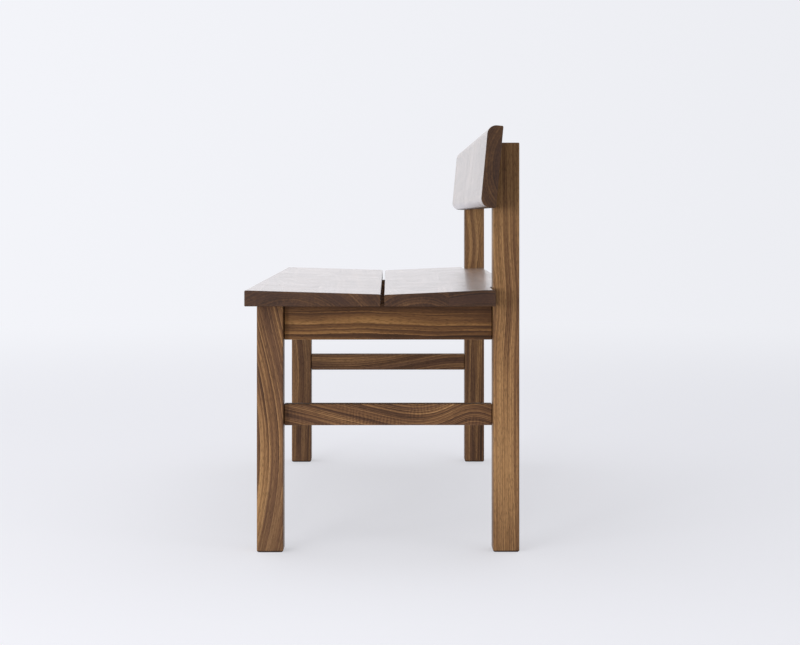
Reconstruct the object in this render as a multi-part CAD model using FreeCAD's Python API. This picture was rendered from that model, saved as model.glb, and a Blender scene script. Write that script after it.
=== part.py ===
import FreeCAD, Part

# Dining bench in solid walnut. Each end is a frame of a front leg, a taller back post, an apron
# and a stretcher. Long aprons join the two frames, cross rails lie between the long aprons, and
# two seat boards with an open slot between them rest on top. A reclined board is the backrest.
# Millimetres: +X right, +Y back, +Z up, and the origin is on the floor under the middle.

import math
import os

from FreeCAD import Placement, Rotation, Vector

# Whole bench
bench_length = 1200.0
end_overhang = 72.0
frame_depth = 418.0
seat_nose = 14.0
seat_height = 420.0

# Legs and posts
leg_size = 42.0
leg_arris = 2.0
foot_chamfer = 2.5
post_height = 652.0

# Aprons and stretchers
rail_thickness = 22.0
rail_recess = 2.0
rail_arris = 1.5
apron_height = 58.0
stretcher_height = 34.0
stretcher_underside = 200.0

# Mortise and tenon joints
tenon_thickness = 10.0
tenon_end_cover = 14.0
tenon_shoulder = 6.0
tenon_spacing = 6.0
joint_clearance = 0.2

# Cross rails under the seat
cross_rail_shares = (-0.35, 0.35)
cross_rail_thickness = 22.0
cross_rail_height = 40.0
stub_tenon_length = 8.0

# Seat boards
seat_slot = 6.0
seat_back_margin = 4.0
front_edge_thickness = 25.0
front_slot_thickness = 18.7
rear_slot_thickness = 18.0
rear_edge_thickness = 27.3
seat_arris = 2.0
seat_underside_arris = 1.5
ear_round = 4.0
board_end_arris = 1.2
notch_clearance = 0.5

# Backrest board
backrest_height = 128.0
backrest_thickness = 24.0
backrest_lap = 104.5
backrest_front_round = 14.0
backrest_rear_arris = 2.0
backrest_tilt_deg = 5.35

# Corner blocks
block_reach = 58.0
block_land = 14.0
block_inner_cut = 12.0
block_height = 30.0
block_drop = 3.0
block_screw_inset = 14.0
block_grip = 12.0

# Seat buttons, whose tongues lie under the lip of a groove in the aprons
button_length = 26.0
button_width = 28.0
button_height = 16.0
button_gap = 0.5
tongue_length = 8.0
tongue_thickness = 6.0
groove_lip = 8.0
groove_slack = 1.0
groove_side_room = 4.0
long_button_shares = (-0.68, 0.0, 0.68)
end_button_shares = (0.27, 0.73)

# Screws and plugs
screw_shank = 4.0
screw_head = 8.0
screw_head_height = 3.0
screw_tip_length = 4.0
recess_width = 1.0
recess_span = 4.5
recess_depth = 1.6
head_room = 1.0
screw_clearance = 0.1
rail_screw_cover = 6.0
seat_screw_cover = 5.5
board_screw_shares = (0.2, 0.6)
backrest_screw_shares = (0.3, 0.75)
backrest_screw_cover = 6.0
backrest_bore_depth = 14.0
plug_length = 8.0

# Cuts run this far past the faces that they open
overrun = 5.0

# Planes that follow from the sizes above
half_length = bench_length / 2
leg_outer = half_length - end_overhang
leg_inner = leg_outer - leg_size
depth_half = (frame_depth + seat_nose) / 2
leg_front = seat_nose - depth_half
leg_back = leg_front + leg_size
post_back = depth_half
post_front = post_back - leg_size
frame_middle = (leg_front + post_back) / 2
seat_underside = seat_height - front_edge_thickness
apron_underside = seat_underside - apron_height
end_rail_inner = leg_inner + rail_recess
end_rail_outer = end_rail_inner + rail_thickness
front_rail_inner = leg_back - rail_recess
front_rail_outer = front_rail_inner - rail_thickness
rear_rail_inner = post_front + rail_recess
tenon_length = leg_size - tenon_end_cover
tenon_height = (apron_height - 2 * tenon_shoulder - tenon_spacing) / 2
seat_board_width = (frame_depth + seat_nose - seat_back_margin - seat_slot) / 2
front_board_slot_edge = seat_board_width - depth_half
rear_board_slot_edge = front_board_slot_edge + seat_slot
rear_board_back = rear_board_slot_edge + seat_board_width
backrest_underside = post_height - backrest_lap
backrest_tilt = math.radians(backrest_tilt_deg)
button_underside = seat_underside - button_gap - button_height
seat_screw_seat = button_underside + screw_head_height + head_room
seat_screw_tip = seat_underside + min(front_slot_thickness, rear_slot_thickness) - seat_screw_cover
seat_screw_length = seat_screw_tip - seat_screw_seat
block_screw_length = block_grip + rail_thickness - rail_screw_cover
block_middle = seat_underside - block_drop - block_height / 2
block_screw_offset = block_reach - block_screw_inset

up = Vector(0, 0, 1)


def box(x_span, y_span, z_span):
    """Box between two values on each axis."""
    low = Vector(x_span[0], y_span[0], z_span[0])
    return Part.makeBox(x_span[1] - x_span[0], y_span[1] - y_span[0], z_span[1] - z_span[0], low)


def around(middle, size, clearance=0):
    """Span of a size about its middle, opened by a clearance each way."""
    return (middle - size / 2 - clearance, middle + size / 2 + clearance)


def cylinder(radius, start, direction, length):
    """Round bar from a start point along a direction."""
    return Part.makeCylinder(radius, length, start, direction)


def eased(shape, radius, chosen):
    """Shape with the chosen edges rounded over."""
    return shape.makeFillet(radius, [edge for edge in shape.Edges if chosen(edge)])


def runs_along(edge, axis):
    """True for a straight edge along the axis."""
    run = edge.Vertexes[-1].Point - edge.Vertexes[0].Point
    return abs(abs(run.dot(axis)) - edge.Length) < joint_clearance


def lies_at(edge, axis, place):
    """True for an edge that lies in the plane square to the axis at that place."""
    box_of_edge = edge.BoundBox
    low = Vector(box_of_edge.XMin, box_of_edge.YMin, box_of_edge.ZMin).dot(axis)
    high = Vector(box_of_edge.XMax, box_of_edge.YMax, box_of_edge.ZMax).dot(axis)
    return abs(low - place) < joint_clearance and abs(high - place) < joint_clearance


def other_side(shape):
    """Mirror image across the bench's middle, from right to left."""
    return shape.mirror(Vector(0, 0, 0), Vector(1, 0, 0))


def other_depth(shape):
    """Mirror image from the front rails to the rear rails."""
    return shape.mirror(Vector(0, frame_middle, 0), Vector(0, 1, 0))


def rounded_outline(corners):
    """Closed wire in the YZ plane through corners (y, z, radius), with an arc at each corner."""
    points = [Vector(0, y, z) for y, z, radius in corners]
    starts, edges, last = [], [], None
    for index, (y, z, radius) in enumerate(corners):
        corner = points[index]
        before = (points[index - 1] - corner).normalize()
        after = (points[(index + 1) % len(points)] - corner).normalize()
        half_angle = before.getAngle(after) / 2
        bisector = (before + after).normalize()
        reach = radius / math.tan(half_angle)
        start = corner + before * reach
        finish = corner + after * reach
        crown = corner + bisector * (radius / math.sin(half_angle) - radius)
        if last is not None:
            edges.append(Part.LineSegment(last, start).toShape())
        edges.append(Part.Arc(start, crown, finish).toShape())
        starts.append(start)
        last = finish
    edges.append(Part.LineSegment(last, starts[0]).toShape())
    return Part.Wire(edges)


def board(corners):
    """Board with the rounded outline along the whole bench."""
    face = Part.Face(rounded_outline(corners))
    face.translate(Vector(-half_length, 0, 0))
    return face.extrude(Vector(bench_length, 0, 0))


def ends_eased(shape):
    """Board with the edges of both end faces rounded over."""

    def at_an_end(edge):
        return any(lies_at(edge, Vector(1, 0, 0), place) for place in (-half_length, half_length))

    return eased(shape, board_end_arris, at_an_end)


def rises(edge):
    """True for an edge that climbs, upright or slanting."""
    return edge.BoundBox.ZLength > foot_chamfer / 2


def column(x_span, y_span, height, top_eased):
    """Square leg blank with a chamfered foot, eased corners and, if asked, an eased top."""
    blank = box(x_span, y_span, (0, height))
    blank = blank.makeChamfer(foot_chamfer, [edge for edge in blank.Edges if lies_at(edge, up, 0)])

    def to_ease(edge):
        return rises(edge) or (top_eased and lies_at(edge, up, height))

    return eased(blank, leg_arris, to_ease)


def end_tenon(y_start, y_finish, z_span, clearance=0):
    """Tenon of an end rail, or with a clearance its mortise."""
    x_middle = (end_rail_inner + end_rail_outer) / 2
    z_room = (z_span[0] - clearance, z_span[1] + clearance)
    return box(around(x_middle, tenon_thickness, clearance), (y_start, y_finish), z_room)


def end_apron_tenon_heights():
    """Heights of an end apron's tenon, under the long apron's tenon."""
    low = apron_underside + tenon_shoulder
    return (low, low + tenon_height)


def long_apron_tenon_heights():
    """Heights of a long apron's tenon, over the end apron's tenon."""
    high = seat_underside - tenon_shoulder
    return (high - tenon_height, high)


def stretcher_tenon_heights():
    """Heights of an end stretcher's tenon."""
    high = stretcher_underside + stretcher_height
    return (stretcher_underside + tenon_shoulder, high - tenon_shoulder)


def long_tenon(x_start, x_finish, clearance=0):
    """Tenon of the front apron at one end, or with a clearance its mortise."""
    y_middle = (front_rail_inner + front_rail_outer) / 2
    z_low, z_high = long_apron_tenon_heights()
    z_room = (z_low - clearance, z_high + clearance)
    return box((x_start, x_finish), around(y_middle, tenon_thickness, clearance), z_room)


def front_mortises():
    """Space that the rails' tenons take in the right front leg."""
    mortise_end = leg_back - tenon_length - joint_clearance
    low = end_tenon(mortise_end, leg_back + overrun, end_apron_tenon_heights(), joint_clearance)
    foot = end_tenon(mortise_end, leg_back + overrun, stretcher_tenon_heights(), joint_clearance)
    side_end = leg_inner + tenon_length + joint_clearance
    high = long_tenon(leg_inner - overrun, side_end, joint_clearance)
    return Part.makeCompound([low, foot, high])


def front_leg():
    """Right front leg, with its top under the seat."""
    leg = column((leg_inner, leg_outer), (leg_front, leg_back), seat_underside, False)
    return leg.cut(front_mortises())


def recline_y(z):
    """Depth of the backrest's rear face, which is the posts' tapered front face, at a height."""
    return post_front + (z - backrest_underside) * math.tan(backrest_tilt)


def post_taper():
    """Wedge that is planed off the post's front face behind the backrest."""
    top = post_height + overrun
    corners = [
        Vector(0, post_front, backrest_underside),
        Vector(0, recline_y(top), top),
        Vector(0, post_front - overrun, top),
        Vector(0, post_front - overrun, backrest_underside),
    ]
    face = Part.Face(Part.makePolygon(corners + corners[:1]))
    face.translate(Vector(leg_inner - overrun, 0, 0))
    return face.extrude(Vector(leg_size + 2 * overrun, 0, 0))


def backrest_screw_heights():
    """Heights of the screws in the lap of backrest and post."""
    return [backrest_underside + share * backrest_lap for share in backrest_screw_shares]


def backrest_screw_seat():
    """Depth at which the screw heads bear inside the posts."""
    return post_back - backrest_bore_depth


def backrest_screw_length():
    """Length that leaves the cover in front of the highest screw's tip."""
    front_face = recline_y(max(backrest_screw_heights()))
    front_face -= backrest_thickness / math.cos(backrest_tilt)
    return backrest_screw_seat() - front_face - backrest_screw_cover


def backrest_screw_points():
    """Points on the screws' axes at the depth where the heads bear, in both posts."""
    x_middle = (leg_inner + leg_outer) / 2
    depth = backrest_screw_seat()
    return [Vector(x, depth, z) for x in (-x_middle, x_middle) for z in backrest_screw_heights()]


def back_post():
    """Right back post, tapered behind the backrest, with mortises and screw holes."""
    post = column((leg_inner, leg_outer), (post_front, post_back), post_height, True)
    post = post.cut(post_taper()).cut(other_depth(front_mortises()))
    for point in backrest_screw_points():
        post = post.cut(screw_hole(point, Vector(0, -1, 0), leg_size))
        post = post.cut(cylinder(head_bore(), point, Vector(0, 1, 0), backrest_bore_depth + overrun))
    return post


def end_rail(z_span, tenon_heights):
    """Rail between the right front leg and back post, with a tenon at each end."""
    rail = box((end_rail_inner, end_rail_outer), (leg_back, post_front), z_span)
    rail = eased(rail, rail_arris, lambda edge: runs_along(edge, Vector(0, 1, 0)))
    tenons = end_tenon(leg_back - tenon_length, post_front + tenon_length, tenon_heights)
    return rail.fuse(tenons).removeSplitter()


def end_apron():
    """Right end apron, with button grooves and the corner blocks' screw holes."""
    apron = end_rail((apron_underside, seat_underside), end_apron_tenon_heights())
    for point, angle in end_button_places():
        apron = apron.cut(placed(button_groove(), point, angle))
    near = block_screw_points()[0]
    hole = screw_hole(near, Vector(1, 0, 0), block_screw_length)
    return apron.cut(hole).cut(other_depth(hole))


def end_stretcher():
    """Right end stretcher, halfway up the legs."""
    span = (stretcher_underside, stretcher_underside + stretcher_height)
    return end_rail(span, stretcher_tenon_heights())


def cross_rail_middles():
    """Middles of the cross rails along the bench."""
    return [share * leg_inner for share in cross_rail_shares]


def stub_tenon(x_middle, reach, clearance=0):
    """Tongue through both ends of a cross rail, or with a clearance its two sockets."""
    y_span = (front_rail_inner - reach, rear_rail_inner + reach)
    z_low = seat_underside - cross_rail_height + tenon_shoulder - clearance
    z_high = seat_underside - tenon_shoulder + clearance
    return box(around(x_middle, tenon_thickness, clearance), y_span, (z_low, z_high))


def long_apron():
    """Front apron with tenons, sockets for the cross rails, grooves and screw holes."""
    span = (apron_underside, seat_underside)
    apron = box((-leg_inner, leg_inner), (front_rail_outer, front_rail_inner), span)
    apron = eased(apron, rail_arris, lambda edge: runs_along(edge, Vector(1, 0, 0)))
    reach = leg_inner + tenon_length
    apron = apron.fuse(long_tenon(-reach, reach)).removeSplitter()
    for x_middle in cross_rail_middles():
        socket = stub_tenon(x_middle, stub_tenon_length + joint_clearance, joint_clearance)
        apron = apron.cut(socket)
    for point, angle in long_button_places():
        apron = apron.cut(placed(button_groove(), point, angle))
    near = block_screw_points()[1]
    hole = screw_hole(near, Vector(0, -1, 0), block_screw_length)
    return apron.cut(hole).cut(other_side(hole))


def cross_rail(x_middle):
    """Rail under both seat boards, with bores for the screws that hold them."""
    span = (seat_underside - cross_rail_height, seat_underside)
    rail = box(around(x_middle, cross_rail_thickness), (front_rail_inner, rear_rail_inner), span)
    rail = eased(rail, rail_arris, lambda edge: runs_along(edge, Vector(0, 1, 0)))
    rail = rail.fuse(stub_tenon(x_middle, stub_tenon_length)).removeSplitter()
    for point in cross_screw_points(x_middle):
        rail = rail.cut(screw_hole(point, up, seat_screw_length))
        rail = rail.cut(cylinder(head_bore(), point, up * -1, cross_rail_height))
    return rail


def front_seat_board():
    """Front seat board, whose top falls towards the slot."""
    corners = [
        (-depth_half, seat_underside, seat_underside_arris),
        (-depth_half, seat_height, seat_arris),
        (front_board_slot_edge, seat_underside + front_slot_thickness, seat_arris),
        (front_board_slot_edge, seat_underside, seat_underside_arris),
    ]
    return seat_screws_bored(ends_eased(board(corners)))


def rear_board_top(y):
    """Height of the rear seat board's top at a depth."""
    rise = (rear_edge_thickness - rear_slot_thickness) / seat_board_width
    return seat_underside + rear_slot_thickness + rise * (y - rear_board_slot_edge)


def ear_cut():
    """Notch round the right post, with the round of the ear's rear edge behind the overhang."""
    x_span = (leg_inner - notch_clearance, half_length + overrun)
    rear = post_front - notch_clearance
    top = rear_board_top(rear)
    z_span = (seat_underside - overrun, rear_board_top(rear_board_back) + overrun)
    notch = box(x_span, (rear, rear_board_back + overrun), z_span)
    y_corner, z_corner = rear - ear_round, top - ear_round
    corner = box(x_span, (y_corner, rear + overrun), (z_corner, top + overrun))
    axis_start = Vector(x_span[0], y_corner, z_corner)
    rounded = cylinder(ear_round, axis_start, Vector(1, 0, 0), x_span[1] - x_span[0])
    return notch.fuse(corner.cut(rounded))


def rear_seat_board():
    """Rear seat board, whose top rises from the slot, notched round both posts."""
    corners = [
        (rear_board_slot_edge, seat_underside, seat_underside_arris),
        (rear_board_slot_edge, rear_board_top(rear_board_slot_edge), seat_arris),
        (rear_board_back, rear_board_top(rear_board_back), seat_arris),
        (rear_board_back, seat_underside, seat_underside_arris),
    ]
    blank = board(corners)
    notched = blank.cut(ear_cut()).cut(other_side(ear_cut()))
    return seat_screws_bored(ends_eased(notched))


def seat_screws_bored(shape):
    """Seat board with the screw holes from the buttons and cross rails under it."""
    points = button_screw_points()
    for x_middle in cross_rail_middles():
        points = points + cross_screw_points(x_middle)
    for point in points:
        shape = shape.cut(screw_hole(point, up, seat_screw_length))
    return shape


def backrest_board():
    """Backrest board, lying back against the posts, with deep rounds on its front edges."""
    along = Vector(0, math.sin(backrest_tilt), math.cos(backrest_tilt)) * backrest_height
    through = Vector(0, -math.cos(backrest_tilt), math.sin(backrest_tilt)) * backrest_thickness
    low_rear = Vector(0, post_front, backrest_underside)
    points = [low_rear, low_rear + through, low_rear + through + along, low_rear + along]
    front, rear = backrest_front_round, backrest_rear_arris
    rounds = [rear, front, front, rear]
    corners = [(point.y, point.z, radius) for point, radius in zip(points, rounds)]
    shape = ends_eased(board(corners))
    for point in backrest_screw_points():
        shape = shape.cut(screw_hole(point, Vector(0, -1, 0), backrest_screw_length()))
    return shape


def block_screw_points():
    """Points where the front right block's two screw heads bear, end apron first."""
    across = Vector(end_rail_inner - block_grip, front_rail_inner + block_screw_offset, block_middle)
    along = Vector(end_rail_inner - block_screw_offset, front_rail_inner + block_grip, block_middle)
    return [across, along]


def corner_block():
    """Front right corner block, cut clear of the leg's corner and bored for two screws."""
    far = block_reach
    plan = [
        (block_inner_cut, 0), (far, 0), (far, block_land),
        (block_land, far), (0, far), (0, block_inner_cut),
    ]
    low = block_middle - block_height / 2
    points = [Vector(end_rail_inner - x, front_rail_inner + y, low) for x, y in plan]
    block = Part.Face(Part.makePolygon(points + points[:1])).extrude(up * block_height)
    for point, direction in zip(block_screw_points(), (Vector(1, 0, 0), Vector(0, -1, 0))):
        block = block.cut(screw_hole(point, direction, block_screw_length))
        block = block.cut(cylinder(head_bore(), point, direction * -1, block_reach))
    return block


def block_screws():
    """Two screws of the front right corner block."""
    points = block_screw_points()
    length = block_screw_length
    return [screw(points[0], Vector(1, 0, 0), length), screw(points[1], Vector(0, -1, 0), length)]


def at_four_corners(shapes):
    """Front right shapes repeated at the left and the rear."""
    right = shapes + [other_depth(shape) for shape in shapes]
    return right + [other_side(shape) for shape in right]


def placed(shape, point, angle):
    """Shape turned about the vertical by an angle in degrees and moved to a point."""
    moved = shape.copy()
    moved.Placement = Placement(point, Rotation(up, angle))
    return moved


def end_button_places():
    """Points on the right end apron's inner face at the seat's underside, with turns."""
    run = post_front - leg_back
    return [
        (Vector(end_rail_inner, leg_back + share * run, seat_underside), 180)
        for share in end_button_shares
    ]


def long_button_places():
    """Points on the front apron's inner face at the seat's underside, with turns."""
    return [
        (Vector(share * leg_inner, front_rail_inner, seat_underside), 90)
        for share in long_button_shares
    ]


def button_places():
    """Every button's place, on both end aprons and both long aprons."""
    right = end_button_places()
    left = [(Vector(-point.x, point.y, point.z), 0) for point, angle in right]
    front = long_button_places()
    rear = [(Vector(point.x, rear_rail_inner, point.z), -90) for point, angle in front]
    return right + left + front + rear


def button_groove():
    """Stopped groove in an apron, seen from the apron's inner face with +X inwards."""
    depth = tongue_length + groove_slack
    span = (-groove_lip - tongue_thickness - groove_slack, -groove_lip)
    return box((-depth, overrun), around(0, button_width, groove_side_room), span)


def seat_button():
    """Button with its tongue in the groove and its top just under the seat."""
    body_span = (-button_gap - button_height, -button_gap)
    body = box((0, button_length), around(0, button_width), body_span)
    tongue_span = (-groove_lip - tongue_thickness, -groove_lip)
    tongue = box((-tongue_length, 0), around(0, button_width), tongue_span)
    button = body.fuse(tongue).removeSplitter()
    seat = Vector(button_length / 2, 0, seat_screw_seat - seat_underside)
    button = button.cut(screw_hole(seat, up, seat_screw_length))
    return button.cut(cylinder(head_bore(), seat, up * -1, button_height))


def button_screw_points():
    """Points where the button screws' heads bear."""
    offset = Vector(button_length / 2, 0, seat_screw_seat - seat_underside)
    return [point + Rotation(up, angle).multVec(offset) for point, angle in button_places()]


def cross_screw_points(x_middle):
    """Points where the screw heads bear inside a cross rail, two under each seat board."""
    reaches = [share * seat_board_width for share in board_screw_shares]
    depths = [front_board_slot_edge - reach for reach in reaches]
    depths += [rear_board_slot_edge + reach for reach in reaches]
    return [Vector(x_middle, y, seat_screw_seat) for y in depths]


def head_bore():
    """Radius of the bore that takes a screw's head or a plug."""
    return screw_head / 2 + head_room


def screw_hole(point, direction, length):
    """Hole for a screw's shank from the plane where its head bears."""
    return cylinder(screw_shank / 2 + screw_clearance, point, direction, length + screw_clearance)


def screw(point, direction, length):
    """Wood screw with a flat head and a cross recess, its head bearing at the point."""
    shank = cylinder(screw_shank / 2, Vector(0, 0, 0), up, length - screw_tip_length)
    tip_start = Vector(0, 0, length - screw_tip_length)
    tip = Part.makeCone(screw_shank / 2, 0, screw_tip_length, tip_start, up)
    head = cylinder(screw_head / 2, Vector(0, 0, -screw_head_height), up, screw_head_height)
    body = head.fuse([shank, tip]).removeSplitter()
    depth_span = (-screw_head_height - overrun, recess_depth - screw_head_height)
    body = body.cut(box(around(0, recess_span), around(0, recess_width), depth_span))
    body = body.cut(box(around(0, recess_width), around(0, recess_span), depth_span))
    body.Placement = Placement(point, Rotation(up, direction))
    return body


def backrest_plugs():
    """Wooden plugs flush with the posts' rear faces, over the backrest screws."""
    radius = head_bore() - screw_clearance
    starts = [Vector(point.x, post_back, point.z) for point in backrest_screw_points()]
    return [cylinder(radius, start, Vector(0, -1, 0), plug_length) for start in starts]


def bench_pieces():
    """Every piece of the bench under its name."""
    pieces = {}
    for name, shape in (
        ("front_leg", front_leg()),
        ("back_post", back_post()),
        ("end_apron", end_apron()),
        ("end_stretcher", end_stretcher()),
    ):
        pieces["right_" + name] = shape
        pieces["left_" + name] = other_side(shape)
    pieces["front_apron"] = long_apron()
    pieces["rear_apron"] = other_depth(long_apron())
    for side, x_middle in zip(("left", "right"), cross_rail_middles()):
        pieces[side + "_cross_rail"] = cross_rail(x_middle)
    pieces["front_seat_board"] = front_seat_board()
    pieces["rear_seat_board"] = rear_seat_board()
    pieces["backrest_board"] = backrest_board()
    corners = ("front_right", "rear_right", "front_left", "rear_left")
    for corner, shape in zip(corners, at_four_corners([corner_block()])):
        pieces[corner + "_corner_block"] = shape
    pieces["corner_block_screws"] = Part.makeCompound(at_four_corners(block_screws()))
    buttons = [placed(seat_button(), point, angle) for point, angle in button_places()]
    pieces["seat_buttons"] = Part.makeCompound(buttons)
    length = seat_screw_length
    seat_screws = [screw(point, up, length) for point in button_screw_points()]
    pieces["seat_button_screws"] = Part.makeCompound(seat_screws)
    rail_screws = [
        screw(point, up, length) for x in cross_rail_middles() for point in cross_screw_points(x)
    ]
    pieces["cross_rail_screws"] = Part.makeCompound(rail_screws)
    direction = Vector(0, -1, 0)
    back_screws = [
        screw(point, direction, backrest_screw_length()) for point in backrest_screw_points()
    ]
    pieces["backrest_screws"] = Part.makeCompound(back_screws)
    pieces["backrest_screw_plugs"] = Part.makeCompound(backrest_plugs())
    return pieces


def main():
    """Write one STEP file for each piece."""
    os.makedirs("parts", exist_ok=True)
    for name, shape in bench_pieces().items():
        shape.exportStep(os.path.join("parts", name + ".step"))
        print(name, "solids", len(shape.Solids), "valid", shape.isValid())


main()
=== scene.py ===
"""Dining bench in solid walnut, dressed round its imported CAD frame.

Metres in the CAD frame: +X right, +Y back, +Z up, and the origin on the floor under the middle.
The bench's right end faces the camera, which looks along its length.
"""

from __future__ import annotations

import logging
import math
from dataclasses import dataclass
from enum import Enum
from typing import Any, Callable, Mapping, Sequence

import bpy
import numpy as np
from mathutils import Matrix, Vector


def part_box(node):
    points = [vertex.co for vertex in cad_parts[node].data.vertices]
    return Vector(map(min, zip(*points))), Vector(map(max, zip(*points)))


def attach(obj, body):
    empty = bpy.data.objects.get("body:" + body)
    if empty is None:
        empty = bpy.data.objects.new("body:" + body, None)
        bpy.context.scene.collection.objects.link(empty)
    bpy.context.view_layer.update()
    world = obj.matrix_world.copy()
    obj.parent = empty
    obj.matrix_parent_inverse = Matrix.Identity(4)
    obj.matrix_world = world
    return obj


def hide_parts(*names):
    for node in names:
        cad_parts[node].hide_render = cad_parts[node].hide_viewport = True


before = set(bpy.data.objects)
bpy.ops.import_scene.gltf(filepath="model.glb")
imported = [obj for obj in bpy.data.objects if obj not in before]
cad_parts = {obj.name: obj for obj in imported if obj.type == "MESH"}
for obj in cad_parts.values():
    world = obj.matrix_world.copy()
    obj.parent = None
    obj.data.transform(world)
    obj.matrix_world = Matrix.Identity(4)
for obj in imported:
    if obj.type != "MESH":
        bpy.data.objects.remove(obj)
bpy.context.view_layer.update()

Array = np.ndarray
Pair = tuple[float, float]
Triple = tuple[float, float, float]
Splits = Mapping[int, Sequence[float]] | None
Inputs = Mapping[int | str, Any] | None

MM = 0.001
# Metres within which points lie on a line, are one point, or count as inside a mouth
TINY, WELD, MOUTH_MARGIN = 1e-9, 2e-7, 1e-6
# Decimals of a metre by which points of a side are told apart
DECIMALS = 9
# Distances from an eased edge over which its wear and painted highlight fade
BORDERS = (1.2 * MM, 3.5 * MM)
# How much each finer layer of a noise counts beside the one before it
NOISE_ROUGHNESS = 0.55
ARRIS = "arris"
WHITE = (1.0, 1.0, 1.0)

log = logging.getLogger("dining_bench")


class Side(Enum):
    """End of the bench, with its sign on the X axis."""

    RIGHT = 1
    LEFT = -1


class Slot(Enum):
    """Material slots of the record."""

    FRAME = "walnut_frame"
    SEAT = "walnut_seat"
    BACKREST = "walnut_backrest"


class Grain(Enum):
    """Axis along which a piece's fibres run, as its index in a point."""

    LENGTH = 0
    DEPTH = 1
    HEIGHT = 2

    @property
    def across(self) -> list[int]:
        """Indices of the two other axes."""
        return [index for index in range(3) if index != self.value]

    @property
    def axis(self) -> Array:
        """Unit vector along the fibres."""
        return np.eye(3)[self.value]

    def turn(self, lean: Pair) -> Triple:
        """Work out the turn from the Z axis to fibres that stray from the grain's own axis.

        Args:
            lean: How far they stray about each of the two other axes, in degrees.

        Returns:
            Euler angles in radians.
        """
        first, second = (math.radians(angle) for angle in lean)
        quarter = math.pi / 2
        turns = (0.0, quarter + first, second), (first - quarter, 0.0, second), (first, second, 0.0)
        return turns[self.value]

    def circle(self, steps: int, start: float = 0.0) -> Array:
        """Lay out the unit circle square to the axis: cos t and sin t for even steps of t.

        Args:
            steps: Steps once round.
            start: Angle of the first point, in radians.

        Returns:
            The points, with the first one again at the end.
        """
        angle = start + np.linspace(0, 2 * math.pi, steps + 1)
        made = np.zeros((steps + 1, 3))
        made[:, self.across] = np.stack([np.cos(angle), np.sin(angle)], -1)
        return made


def operator(operation: str, swapped: bool = False) -> Callable[[Socket, Number], Socket]:
    """Make a Python operator that adds a Math node.

    Args:
        operation: The node's operation.
        swapped: Whether the socket stands on the operator's right.

    Returns:
        The operator, for a socket and a number.
    """

    def apply(socket: Socket, other: Number) -> Socket:
        """Math node on the two in their order."""
        pair = (other, socket) if swapped else (socket, other)
        return socket.graph.maths(operation, *pair)

    return apply


@dataclass(frozen=True)
class Socket:
    """Output of a shader node that takes part in Python arithmetic."""

    graph: Graph
    output: bpy.types.NodeSocket

    __add__, __radd__ = operator("ADD"), operator("ADD", True)
    __sub__, __rsub__ = operator("SUBTRACT"), operator("SUBTRACT", True)
    __mul__, __rmul__ = operator("MULTIPLY"), operator("MULTIPLY", True)
    __truediv__, __rtruediv__ = operator("DIVIDE"), operator("DIVIDE", True)


Number = float | Socket


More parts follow.
